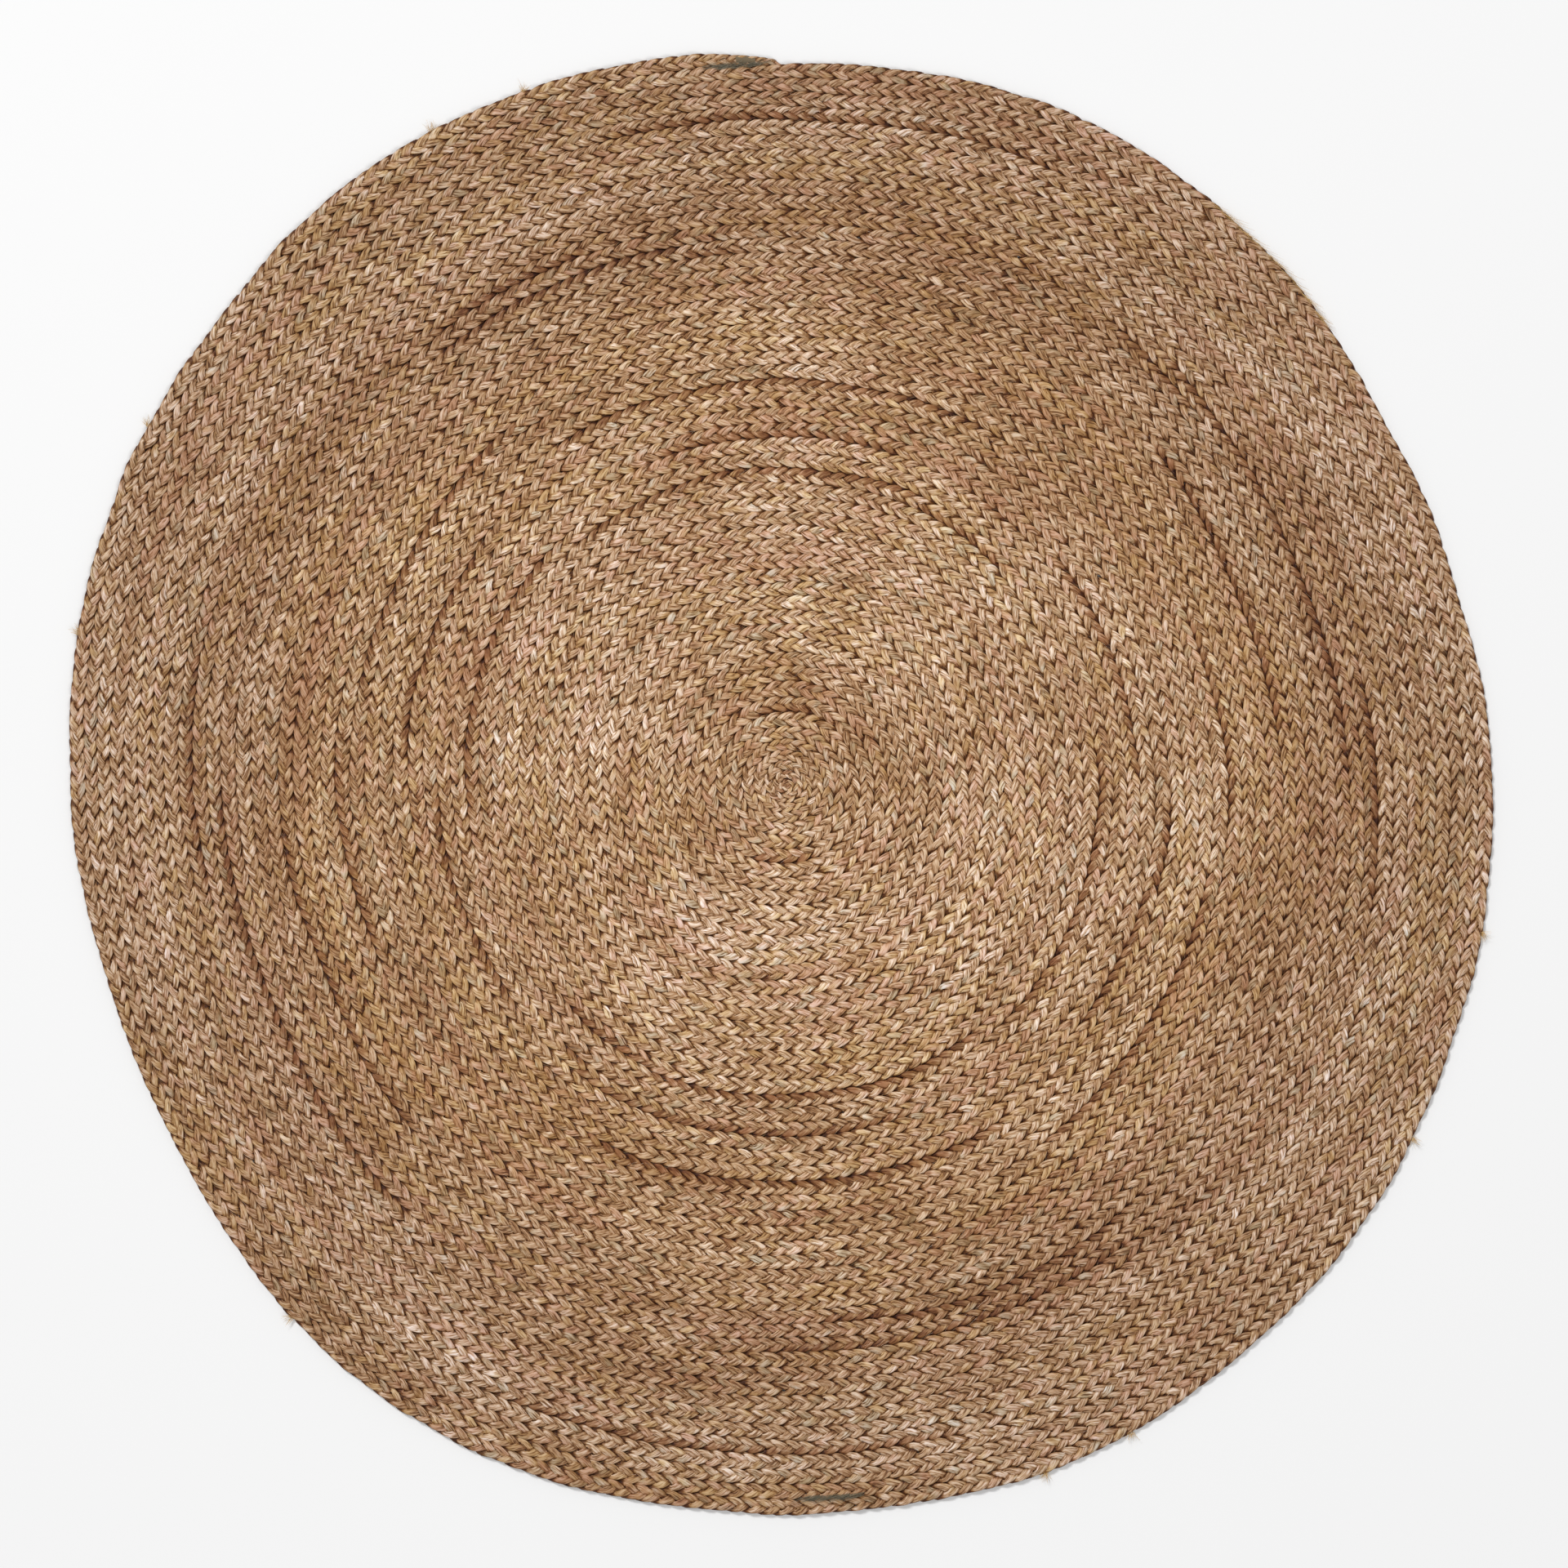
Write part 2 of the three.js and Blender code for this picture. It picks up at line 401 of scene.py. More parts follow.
def plaited_strand():
    """One strand of a flat three-strand plait. It swings from edge to edge of the row once in a period
    and rises and falls twice, so it passes over one strand and under the next. It lies flat and wide
    where it crosses, leans on the strand below it, and is bunched up where it turns at the edge."""
    tree, given = node_tree(
        "Plaited strand",
        Offset=0.0,
        Swing=0.38,
        Lift=0.275,
        Width=0.64,
        Thickness=0.46,
        Spreading=0.3,
        Bunching=0.43,
        Lean=0.35,
        Sinking=0.0012,
        Unevenness=1.0,
        Seed=0.0,
        Sides=SIDES,
        Material="",
    )
    run, phase, row, rise, slack = (
        add(tree, "GeometryNodeInputNamedAttribute", key, data_type="FLOAT")
        for key in ("run", "phase", "row", "rise", "sunk")
    )

    # A hand never plaits evenly: how often in a metre each thing changes, where its noise is read
    # from, and by how much it changes.
    uneven = {
        "phase": (19.0, 0.0, 0.38),
        "swing": (33.0, 31.7, 0.04),
        "lift": (37.0, 77.1, 0.22),
        "width": (43.0, 5.3, 0.16),
    }
    for key, (often, shift, size) in uneven.items():
        start = add(tree, "ShaderNodeMath", given["Seed"], shift, operation="ADD")
        start = add(tree, "ShaderNodeMath", start, 13.7, operation="MULTIPLY")
        place = add(tree, "ShaderNodeMath", run, often, start, operation="MULTIPLY_ADD")
        noise = {"W": place, "Scale": 1.0, "Detail": 1.0}
        noise = add(tree, "ShaderNodeTexNoise", noise, noise_dimensions="1D")
        noise = add(tree, "ShaderNodeMath", noise, 0.5, operation="SUBTRACT")
        noise = add(tree, "ShaderNodeMath", noise, 3.2 * size, operation="MULTIPLY")
        uneven[key] = add(tree, "ShaderNodeMath", noise, given["Unevenness"], operation="MULTIPLY")

    at = add(tree, "ShaderNodeMath", phase, given["Offset"], operation="ADD")
    at = add(tree, "ShaderNodeMath", at, uneven["phase"], operation="ADD")
    across = add(tree, "ShaderNodeMath", at, operation="SINE")
    over = add(tree, "ShaderNodeMath", at, 2.0, operation="MULTIPLY")
    over = add(tree, "ShaderNodeMath", over, operation="SINE")

    # The strand's middle line: swung across the row, raised and lowered, and sunk where it is slack.
    tangent = add(tree, "GeometryNodeInputTangent")
    outward = add(tree, "ShaderNodeVectorMath", (0, 0, 1), tangent, operation="CROSS_PRODUCT")
    outward = add(tree, "ShaderNodeVectorMath", outward, operation="NORMALIZE")
    swing = add(tree, "ShaderNodeMath", across, given["Swing"], uneven["swing"], operation="MULTIPLY_ADD")
    swing = add(tree, "ShaderNodeMath", swing, row, operation="MULTIPLY")
    swing = add(tree, "ShaderNodeVectorMath", {0: outward, "Scale": swing}, operation="SCALE")
    lift = add(tree, "ShaderNodeMath", over, given["Lift"], operation="MULTIPLY")
    lift_share = add(tree, "ShaderNodeMath", uneven["lift"], 1.0, operation="ADD")
    lift = add(tree, "ShaderNodeMath", lift, lift_share, 0.5, operation="MULTIPLY_ADD")
    sunk = add(tree, "ShaderNodeMath", slack, across, operation="MULTIPLY")
    sunk = add(tree, "ShaderNodeMath", sunk, 1.6, operation="MULTIPLY", use_clamp=True)
    fall = add(tree, "ShaderNodeMath", sunk, given["Sinking"], operation="MULTIPLY")
    height = add(tree, "ShaderNodeMath", lift, rise, operation="MULTIPLY")
    height = add(tree, "ShaderNodeMath", height, fall, operation="SUBTRACT")
    offset = add(tree, "ShaderNodeCombineXYZ", {"Z": height})
    offset = add(tree, "ShaderNodeVectorMath", offset, swing, operation="ADD")
    curve = add(tree, "GeometryNodeMeshToCurve", given["Path"])
    curve = add(tree, "GeometryNodeSetPosition", {"Geometry": curve, "Offset": offset})

    # Its section: narrow and thick at the edges, wide where it lies hidden under the other two.
    turning = add(tree, "ShaderNodeMath", across, 2.0, operation="POWER")
    bunched = add(tree, "ShaderNodeMath", turning, given["Bunching"], operation="MULTIPLY")
    width = add(tree, "ShaderNodeMath", 1.0, bunched, operation="SUBTRACT")
    width = add(tree, "ShaderNodeMath", width, given["Width"], operation="MULTIPLY")
    width_share = add(tree, "ShaderNodeMath", uneven["width"], 1.0, operation="ADD")
    width = add(tree, "ShaderNodeMath", width, width_share, operation="MULTIPLY")
    width = add(tree, "ShaderNodeMath", width, row, operation="MULTIPLY")
    under = add(tree, "ShaderNodeMath", over, -1.0, operation="MULTIPLY", use_clamp=True)
    under = add(tree, "ShaderNodeMath", under, given["Spreading"], 1.0, operation="MULTIPLY_ADD")
    width = add(tree, "ShaderNodeMath", width, under, operation="MULTIPLY")
    thick = add(tree, "ShaderNodeMath", turning, 2.0, operation="POWER")
    thick = add(tree, "ShaderNodeMath", thick, bunched, 1.0, operation="MULTIPLY_ADD")
    thick = add(tree, "ShaderNodeMath", thick, given["Thickness"], operation="MULTIPLY")
    thick = add(tree, "ShaderNodeMath", thick, rise, operation="MULTIPLY")
    leaning = add(tree, "ShaderNodeMath", at, 3.0, operation="MULTIPLY")
    leaning = add(tree, "ShaderNodeMath", leaning, operation="COSINE")
    leaning = add(tree, "ShaderNodeMath", leaning, 0.6, operation="MULTIPLY")
    crossing = add(tree, "ShaderNodeMath", at, operation="COSINE")
    leaning = add(tree, "ShaderNodeMath", crossing, 0.4, leaning, operation="MULTIPLY_ADD")
    lean = add(tree, "ShaderNodeMath", leaning, given["Lean"], operation="MULTIPLY")

    new_tangent = add(tree, "GeometryNodeInputTangent")
    side = add(tree, "ShaderNodeVectorMath", (0, 0, 1), new_tangent, operation="CROSS_PRODUCT")
    side = add(tree, "ShaderNodeVectorMath", side, operation="NORMALIZE")
    up = add(tree, "ShaderNodeVectorMath", new_tangent, side, operation="CROSS_PRODUCT")
    kept = add(tree, "GeometryNodeCaptureAttribute", {"Geometry": curve}, domain="POINT")
    wanted = {
        "centre": ("VECTOR", add(tree, "GeometryNodeInputPosition")),
        "side": ("VECTOR", side),
        "up": ("VECTOR", up),
        "width": ("FLOAT", width),
        "thick": ("FLOAT", thick),
        "lean": ("FLOAT", lean),
        "run": ("FLOAT", run),
        "rise": ("FLOAT", rise),
        "over": ("FLOAT", add(tree, "ShaderNodeMath", over, operation="ABSOLUTE")),
        "sunk": ("FLOAT", sunk),
    }
    for key, (kind, node) in wanted.items():
        kept.capture_items.new(kind, key)
        tree.links.new(node.outputs[0], kept.inputs[key])
    kept = kept.outputs

    # A tube along the line, whose rings are then set out from what was kept at each point of it.
    index = add(tree, "GeometryNodeInputIndex")
    turn = add(tree, "ShaderNodeMath", index, given["Sides"], operation="DIVIDE")
    turn = add(tree, "ShaderNodeMath", turn, 2 * math.pi, operation="MULTIPLY")
    circle = add(tree, "GeometryNodeCurvePrimitiveCircle", {"Resolution": given["Sides"], "Radius": 0.001})
    ring = add(tree, "GeometryNodeCaptureAttribute", {"Geometry": circle}, domain="POINT")
    ring.capture_items.new("FLOAT", "turn")
    tree.links.new(turn.outputs[0], ring.inputs["turn"])
    turn = ring.outputs["turn"]
    tube = {"Curve": kept["Geometry"], "Profile Curve": ring, "Fill Caps": True}
    tube = add(tree, "GeometryNodeCurveToMesh", tube)
    edge = add(tree, "ShaderNodeMath", turn, operation="COSINE")
    top = add(tree, "ShaderNodeMath", turn, operation="SINE")
    outline = []
    for share, size in ((edge, kept["width"]), (top, kept["thick"])):
        # A little squarer than an ellipse.
        fuller = add(tree, "ShaderNodeMath", share, operation="ABSOLUTE")
        fuller = add(tree, "ShaderNodeMath", fuller, 0.8, operation="POWER")
        sign = add(tree, "ShaderNodeMath", share, operation="SIGN")
        fuller = add(tree, "ShaderNodeMath", fuller, sign, operation="MULTIPLY")
        half = add(tree, "ShaderNodeMath", size, 0.5, operation="MULTIPLY")
        outline.append(add(tree, "ShaderNodeMath", fuller, half, operation="MULTIPLY"))
    sideways, upwards = outline
    slope = add(tree, "ShaderNodeMath", sideways, kept["lean"], upwards, operation="MULTIPLY_ADD")
    sideways_by = add(tree, "ShaderNodeVectorMath", {0: kept["side"], "Scale": sideways}, operation="SCALE")
    up_by = add(tree, "ShaderNodeVectorMath", {0: kept["up"], "Scale": slope}, operation="SCALE")
    place = add(tree, "ShaderNodeVectorMath", kept["centre"], sideways_by, operation="ADD")
    place = add(tree, "ShaderNodeVectorMath", place, up_by, operation="ADD")
    place = add(tree, "ShaderNodeVectorMath", place, LOWEST, operation="MAXIMUM")
    tube = add(tree, "GeometryNodeSetPosition", {"Geometry": tube, "Position": place})

    # What the jute's material reads: where a point is in its strand, and how it lies in the plait. Its
    # height through the plait, how near it is to passing under the next strand and how far its half row
    # has sunk are all turned into painted shade by the material.
    inside = add(tree, "ShaderNodeMath", given["Seed"], 7.0, kept["run"], operation="MULTIPLY_ADD")
    inside = add(tree, "ShaderNodeCombineXYZ", inside, sideways, upwards)
    level = add(tree, "ShaderNodeSeparateXYZ", place).outputs["Z"]
    level = add(tree, "ShaderNodeMath", level, kept["rise"], operation="DIVIDE")
    level = add(tree, "ShaderNodeMath", level, 0.5, operation="SUBTRACT")
    level = add(tree, "ShaderNodeMath", level, operation="ABSOLUTE")
    level = add(tree, "ShaderNodeMath", level, 2.0, operation="MULTIPLY")
    lie = add(tree, "ShaderNodeCombineXYZ", level, kept["over"], kept["sunk"])
    # How far round to its side a point of the section is, where the material paints shade against the
    # neighbouring strands.
    edge = add(tree, "ShaderNodeMath", edge, operation="ABSOLUTE")
    for key, kind, node in (
        ("in_strand", "FLOAT_VECTOR", inside),
        ("in_plait", "FLOAT_VECTOR", lie),
        ("edge", "FLOAT", edge),
    ):
        stored = {"Geometry": tube, "Name": key, "Value": node}
        tube = add(tree, "GeometryNodeStoreNamedAttribute", stored, data_type=kind)
    finish_tree(tree, tube, given["Material"])
    return tree


def round_thread():
    """A round thread along a path."""
    tree, given = node_tree("Round thread", Diameter=0.0008, Sides=4, Material="")
    curve = add(tree, "GeometryNodeMeshToCurve", given["Path"])
    radius = add(tree, "ShaderNodeMath", given["Diameter"], 0.5, operation="MULTIPLY")
    circle = add(tree, "GeometryNodeCurvePrimitiveCircle", {"Resolution": given["Sides"], "Radius": radius})
    tube = add(tree, "GeometryNodeCurveToMesh", {"Curve": curve, "Profile Curve": circle, "Fill Caps": True})
    finish_tree(tree, tube, given["Material"])
    return tree


def loose_fibres():
    """Fibres that have worked out of the strands. Each is a thin bent hair, set at random along a
    path, turned a little off the strand's direction and standing up from it by its own amount."""
    tree, given = node_tree(
        "Loose fibres",
        Count=100,
        Length=0.016,
        Diameter=0.00022,
        Spread=0.5,
        Rise=0.25,
        Scatter=0.006,
        Seed=0,
        Material="",
    )
    chance = {
        "along": (0.0, 1.0),
        "aside": (-1.0, 1.0),
        "turn": (-1.0, 1.0),
        "lift": (-1.0, 0.1),
        "size": (0.45, 1.0),
    }
    for number, (key, (low, high)) in enumerate(chance.items(), start=1):
        seed = add(tree, "ShaderNodeMath", given["Seed"], float(number), operation="ADD")
        drawn = add(tree, "FunctionNodeRandomValue", {2: low, 3: high, "Seed": seed}, data_type="FLOAT")
        chance[key] = drawn.outputs[1]

    curve = add(tree, "GeometryNodeMeshToCurve", given["Path"])
    sample = {"Curves": curve, "Factor": chance["along"]}
    sample = add(tree, "GeometryNodeSampleCurve", sample, mode="FACTOR", use_all_curves=True)
    tangent = sample.outputs["Tangent"]
    aside = add(tree, "ShaderNodeVectorMath", (0, 0, 1), tangent, operation="CROSS_PRODUCT")
    stray = add(tree, "ShaderNodeMath", given["Scatter"], chance["aside"], operation="MULTIPLY")
    aside = add(tree, "ShaderNodeVectorMath", {0: aside, "Scale": stray}, operation="SCALE")
    place = add(tree, "ShaderNodeVectorMath", sample.outputs["Position"], aside, operation="ADD")
    points = add(tree, "GeometryNodePoints", {"Count": given["Count"], "Position": place, "Radius": 0.001})

    hair = {"Resolution": 4, "Start": (0, 0, 0), "Middle": (0.5, 0, 0.16), "End": (1, 0.22, 0.1)}
    hair = add(tree, "GeometryNodeCurveQuadraticBezier", hair)
    along = add(tree, "FunctionNodeAlignRotationToVector", {"Vector": tangent}, axis="X", pivot_axis="Z")
    turned = add(tree, "ShaderNodeMath", given["Spread"], chance["turn"], operation="MULTIPLY")
    lifted = add(tree, "ShaderNodeMath", given["Rise"], chance["lift"], operation="MULTIPLY")
    turned = add(tree, "ShaderNodeCombineXYZ", 0.0, lifted, turned)
    turned = add(tree, "FunctionNodeEulerToRotation", turned)
    turned = add(tree, "FunctionNodeRotateRotation", along, turned, rotation_space="LOCAL")
    size = add(tree, "ShaderNodeMath", given["Length"], chance["size"], operation="MULTIPLY")
    many = {"Points": points, "Instance": hair, "Rotation": turned, "Scale": size}
    many = add(tree, "GeometryNodeInstanceOnPoints", many)
    many = add(tree, "GeometryNodeRealizeInstances", many)

    thin = add(tree, "GeometryNodeSplineParameter")
    thin = add(tree, "ShaderNodeMath", thin, -0.7, 1.0, operation="MULTIPLY_ADD")
    radius = add(tree, "ShaderNodeMath", given["Diameter"], 0.5, operation="MULTIPLY")
    circle = add(tree, "GeometryNodeCurvePrimitiveCircle", {"Resolution": 3, "Radius": radius})
    tube = {"Curve": many, "Profile Curve": circle, "Scale": thin, "Fill Caps": True}
    tube = add(tree, "GeometryNodeCurveToMesh", tube)
    finish_tree(tree, tube, given["Material"])
    return tree


# ---------------------------------------------------------------- materials


def new_material(name):
    """An empty material and its tree."""
    material = bpy.data.materials.new(name)
    material.use_nodes = True
    material.node_tree.nodes.clear()
    return material, material.node_tree


def raw_jute():
    """Raw jute, retted, combed and lightly twisted into a flat strand. Its dry fibre runs in fine
    streaks along the strand: pale where it stands up, a painted highlight besides the fibre's own paler
    colour, and brown between, partly painted shade. Every hank has a cast of its own: golden, russet
    from bits of bark, or greyish green where it was retted too long. Painted shade also darkens the
    strand deep in the plait, at its sides, at the leaf ends and in sunk rows."""
    material, tree = new_material("Raw jute strand")
    c = bpy.context.scene.rug_colours
    place = add(tree, "ShaderNodeAttribute", attribute_name="in_strand").outputs["Vector"]
    lie = add(tree, "ShaderNodeAttribute", attribute_name="in_plait").outputs["Vector"]
    edge = add(tree, "ShaderNodeAttribute", attribute_name="edge").outputs["Fac"]
    level, over, sunk = add(tree, "ShaderNodeSeparateXYZ", lie).outputs
    spot = add(tree, "ShaderNodeTexCoord").outputs["Object"]

    # The fibres go round the strand once in 130 mm.
    along = add(tree, "ShaderNodeSeparateXYZ", place).outputs["X"]
    spin = add(tree, "ShaderNodeMath", along, 2 * math.pi / 0.13, operation="MULTIPLY")
    twisted = add(tree, "ShaderNodeVectorRotate", {"Vector": place, "Angle": spin}, rotation_type="X_AXIS")

    # How long and how wide the patches of each pattern are in metres, and its detail and roughness.
    # Single fibres are 0.05 mm across, too fine to see from above, so they are drawn as bundles.
    patterns = {
        "streak": (twisted, 0.013, 0.0021, 2.0, 0.6),
        "fine": (twisted, 0.018, 0.0006, 1.0, 0.55),
        "leaf": (place, 0.020, 0.016, 1.0, 0.55),
        "hank": (place, 0.24, 0.05, 1.0, 0.55),
        "lot": (place, 0.9, 0.3, 1.0, 0.55),
    }
    for key, (vector, length, width, detail, roughness) in patterns.items():
        share = (1 / length, 1 / width, 1 / width)
        vector = add(tree, "ShaderNodeVectorMath", vector, share, operation="MULTIPLY")
        noise = {"Vector": vector, "Scale": 1.0, "Detail": detail, "Roughness": roughness}
        patterns[key] = add(tree, "ShaderNodeTexNoise", noise)

    # The bale that was being used changes from row to row, and slowly round the rug.
    flat = add(tree, "ShaderNodeVectorMath", spot, (1, 1, 0), operation="MULTIPLY")
    radius = add(tree, "ShaderNodeVectorMath", flat, operation="LENGTH").outputs["Value"]
    heading = add(tree, "ShaderNodeVectorMath", flat, operation="NORMALIZE")
    heading = add(tree, "ShaderNodeVectorMath", {0: heading, "Scale": 1.7}, operation="SCALE")
    outwards = add(tree, "ShaderNodeMath", radius, 1 / 0.05, operation="MULTIPLY")
    outwards = add(tree, "ShaderNodeCombineXYZ", {"Z": outwards})
    bale = add(tree, "ShaderNodeVectorMath", heading, outwards, operation="ADD")
    patterns["bale"] = add(tree, "ShaderNodeTexNoise", {"Vector": bale, "Scale": 1.0, "Detail": 1.5})
    worn = add(tree, "ShaderNodeTexNoise", {"Vector": spot, "Scale": 3.0, "Detail": 2.0})
    channels = {}
    for key in ("leaf", "hank", "lot", "bale"):
        channels[key] = add(tree, "ShaderNodeSeparateColor", patterns[key].outputs["Color"]).outputs

    fibre = add(tree, "ShaderNodeMath", patterns["fine"], 0.3, operation="MULTIPLY")
    fibre = add(tree, "ShaderNodeMath", patterns["streak"], 0.7, fibre, operation="MULTIPLY_ADD")
    kinds = []
    for channel, by_bale in enumerate((0.6, 0.7, 0.0)):
        leaf, hank, bale = (channels[key][channel] for key in ("leaf", "hank", "bale"))
        kind = add(tree, "ShaderNodeMath", hank, 0.9, leaf, operation="MULTIPLY_ADD")
        kinds.append(add(tree, "ShaderNodeMath", bale, by_bale, kind, operation="MULTIPLY_ADD"))
    golden, russet, over_retted = kinds

    # Each cast is laid over the tan jute: the range its pattern is read over, and its share at
    # either end of that range.
    colour = (*c.tan, 1)
    for cast, value, low, high, at_low, at_high in (
        # The pale streaks are the fibre's paler colour and also painted highlights.
        (c.pale, fibre, 0.46, 0.64, 0.0, 1.0),
        (c.golden, golden, 1.2, 1.5, 0.0, 0.7),
        (c.russet, russet, 1.28, 1.65, 0.0, 0.7),
        (c.grey, over_retted, 1.02, 1.3, 0.0, 0.6),
        # The dark between the streaks is the fibre's own brown and partly painted shade.
        (c.dark, fibre, 0.34, 0.47, 0.8, 0.0),
        (c.russet, sunk, 0.0, 1.0, 0.0, 0.45),
    ):
        reading = (value, low, high, at_low, at_high)
        share = add(tree, "ShaderNodeMapRange", *reading, interpolation_type="SMOOTHSTEP")
        colour = add(tree, "ShaderNodeMix", {0: share, 6: colour, 7: (*cast, 1)}, data_type="RGBA").outputs[2]

    # How light it is. Painted shade: deep in the plait, at the strand's sides where it meets its neighbours,
    # at the leaf ends where it goes under the next strand, in a sunk row (with a darker lot of fibre there
    # too) and between the fibre streaks. Tone that differs at random: from leaf to leaf, hank to hank, lot
    # to lot and bale to bale, and in broad patches.
    light = 1.0
    for reading in (
        (level, 0.18, 0.66, 0.2, 1.0),
        (edge, 0.78, 1.0, 1.0, 0.28),
        (over, 0.0, 0.5, 0.66, 1.0),
        (sunk, 0.0, 1.0, 1.0, 0.55),
        (fibre, 0.36, 0.58, 0.56, 1.08),
        (channels["leaf"][1], 0.33, 0.67, 0.77, 1.17),
        (channels["hank"][0], 0.35, 0.65, 0.87, 1.09),
        (channels["lot"][2], 0.35, 0.65, 0.93, 1.05),
        (channels["bale"][2], 0.35, 0.65, 0.91, 1.06),
        (worn, 0.36, 0.64, 0.94, 1.05),
    ):
        shade = add(tree, "ShaderNodeMapRange", *reading, interpolation_type="SMOOTHSTEP")
        light = add(tree, "ShaderNodeMath", light, shade, operation="MULTIPLY")

    # The painted shade is made brown, so blue is lost first and red last.
    shade = add(tree, "ShaderNodeCombineXYZ", light, light, light)
    shade = add(tree, "ShaderNodeVectorMath", shade, (0.92, 1.34, 2.0), operation="POWER")
    tint = add(tree, "ShaderNodeValToRGB", radius)
    tint.color_ramp.interpolation = "EASE"
    for at, values in BALE_TINTS:
        tint.color_ramp.elements.new(at).color = (*values, 1)
    tint.color_ramp.elements.remove(tint.color_ramp.elements[-1])
    tint.color_ramp.elements.remove(tint.color_ramp.elements[0])
    for layer in (shade, tint):
        layers = {0: 1.0, 6: colour, 7: layer}
        colour = add(tree, "ShaderNodeMix", layers, data_type="RGBA", blend_type="MULTIPLY").outputs[2]

    gloss = add(tree, "ShaderNodeMapRange", fibre, 0.3, 0.7, 0.8, 0.45, interpolation_type="SMOOTHSTEP")
    bump = add(tree, "ShaderNodeBump", {"Height": fibre, "Strength": 0.7, "Distance": 0.0009})
    inputs = {"Base Color": colour, "Roughness": gloss, "Normal": bump, "Specular IOR Level": 0.36}
    surface = add(tree, "ShaderNodeBsdfPrincipled", inputs)
    add(tree, "ShaderNodeOutputMaterial", surface)
    return material


def plain_material(name, colour, roughness):
    """A material of one colour, without a pattern."""
    material, tree = new_material(name)
    surface = add(tree, "ShaderNodeBsdfPrincipled", {"Base Color": (*colour, 1), "Roughness": roughness})
    add(tree, "ShaderNodeOutputMaterial", surface)
    return material


def spun_thread(name, colour):
    """Cotton or jute spun hard and waxed: a plain dark line with next to no gloss."""
    return plain_material(name, colour, 0.8)


def fibre_ends(name, colour):
    """Single jute fibres, which catch the light along one side."""
    return plain_material(name, colour, 0.45)


def matt_floor(colour):
    """A floor painted matt white, which takes the soft shadow and gives no reflection."""
    return plain_material("Matt white floor", colour, 0.9)


# ---------------------------------------------------------------- pieces


def unwrapped(piece):
    """Lays the strand's surface out for baking: a long ribbon, cut into rows of a square."""
    mesh = piece.data
    rings = len(mesh.vertices) // SIDES
    rows = max(1, round(math.sqrt(rings * RING_LENGTH / GIRTH)))
    in_row = math.ceil(rings / rows)
    corners = np.empty(len(mesh.loops), np.int64)
    mesh.loops.foreach_get("vertex_index", corners)
    starts = np.empty(len(mesh.polygons), np.int64)
    counts = np.empty(len(mesh.polygons), np.int64)
    mesh.polygons.foreach_get("loop_start", starts)
    mesh.polygons.foreach_get("loop_total", counts)
    face = np.repeat(np.arange(len(starts)), counts)
    ring = corners // SIDES
    side = (corners % SIDES).astype(float)
    first = np.minimum.reduceat(ring, starts)[face]
    wraps = (np.maximum.reduceat(side, starts) - np.minimum.reduceat(side, starts) > SIDES / 2)[face]
    side = np.where(wraps & (side == 0), SIDES, side)
    row = first // in_row
    u = (ring - row * in_row + 1) / (in_row + 2)
    v = (row + 0.06 + 0.88 * side / SIDES) / rows
    cap = counts[face] != 4
    u = np.where(cap, np.where(ring == 0, 0.2, 0.8) / (in_row + 2), u)
    layer = mesh.uv_layers.new(name="OFBake")
    layer.data.foreach_set("uv", np.column_stack([u, v]).ravel().astype(np.float32))


def jute_strand(name, node, points, **values):
    """A strand of jute plaited along the points, as a piece. The small values go to the path, and
    the capital ones to the tree."""
    tree = bpy.data.node_groups.get("Plaited strand") or plaited_strand()
    material = bpy.data.materials.get("Raw jute strand") or raw_jute()
    inputs = {key: values.pop(key) for key in list(values) if key[0].isupper()}
    piece = made_by(tree, path_object(name, points, **values), Material=material, **inputs)
    unwrapped(piece)
    finish_piece(piece, "jute_braid", node)
    return piece


def plait_strand(name, node, rings, number, first, last):
    """One strand of the plait between two of its rings."""
    s = bpy.context.scene.rug_sizes
    turn, run, phase = (values[first : last + 1] for values in rings)
    return jute_strand(
        name,
        node,
        line_at(turn),
        run=run,
        phase=phase,
        row=laid_width(turn),
        rise=section_at(turn)[1],
        sunk=sunk_at(turn),
        Offset=number * APART,
        Width=s.strand_width / s.row,
        Thickness=s.strand_thickness / THICKNESS,
        Seed=first * 0.001 + number * 2.0 + 1.0,
    )


def scattered(name, points, material, **values):
    """Loose fibres along the points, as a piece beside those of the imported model."""
    tree = bpy.data.node_groups.get("Loose fibres") or loose_fibres()
    piece = made_by(tree, path_object(name, points), Material=material, **values)
    finish_piece(piece, "jute_braid")


class RUG_OT_tucked_start(bpy.types.Operator):
    """Folds a strand over the very middle, and plaits the first turn of the coil round it"""

    bl_idname = "rug.tucked_start"
    bl_label = "Tucked start"

    def execute(self, context):
        s = context.scene.rug_sizes
        rings = plait_rings()
        for number, letter in enumerate(STRANDS):
            stop = braid_stops(rings, number)[0]
            plait_strand(f"start_strand_{letter}", "tucked_start", rings, number, 0, stop)
        across = np.linspace(-1, 1, 9)
        middle = laid(np.zeros((1, 2)))[0]
        bent = middle[1] + 0.001 * np.sin(3 * across)
        jute_strand(
            "start_fold",
            "tucked_start",
            np.column_stack([middle[0] + FOLD_REACH * across, bent, -0.0006 * across**2]),
            run=FOLD_REACH * across,
            phase=np.zeros(len(across)),
            row=s.start_row * (1.1 - 0.45 * across**4),
            rise=np.full(len(across), FOLD_THICKNESS),
            sunk=np.zeros(len(across)),
            Swing=0.0,
            Lift=0.0,
            Lean=0.0,
            Width=1.0,
            Thickness=0.8,
            Unevenness=0.0,
            Seed=71.0,
        )
        return {"FINISHED"}


